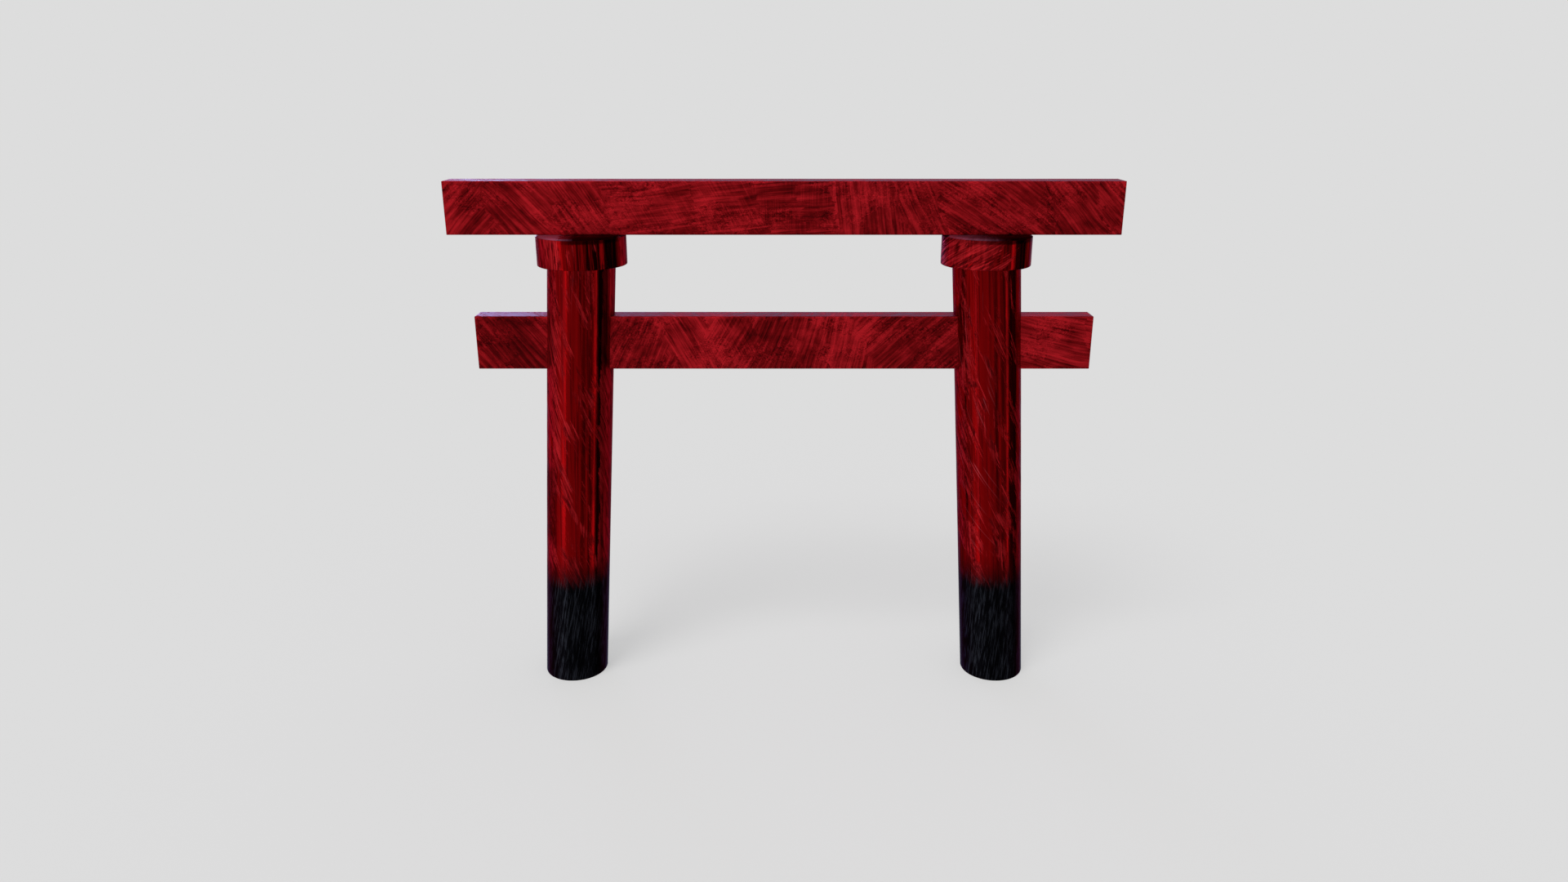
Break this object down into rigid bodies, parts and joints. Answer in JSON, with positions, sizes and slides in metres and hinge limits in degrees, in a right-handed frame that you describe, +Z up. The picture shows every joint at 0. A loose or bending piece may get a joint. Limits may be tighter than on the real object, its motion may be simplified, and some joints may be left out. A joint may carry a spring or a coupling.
{
  "type": "torii gate",
  "caption": "Painted timber torii gate: round posts that lean in, round capitals, a square-edged lintel and a tie beam that runs through the posts.",
  "frame": {"origin": "on the ground, midway between the two posts", "axes": "+Z up, +X along the lintel, -Y towards the front"},
  "size_m": [4.6704, 0.63, 3.794],
  "materials": {
    "post_lacquer": "glossy deep red lacquer on a round log, fading to black at the foot",
    "capital_lacquer": "glossy deep red lacquer",
    "beam_paint": "deep red paint with broad brush strokes, satin"
  },
  "bodies": {
    "root": {"left_post": "post_lacquer", "right_post": "post_lacquer", "left_capital": "capital_lacquer", "right_capital": "capital_lacquer", "top_lintel": "beam_paint", "tie_beam": "beam_paint"}
  },
  "joints": []
}
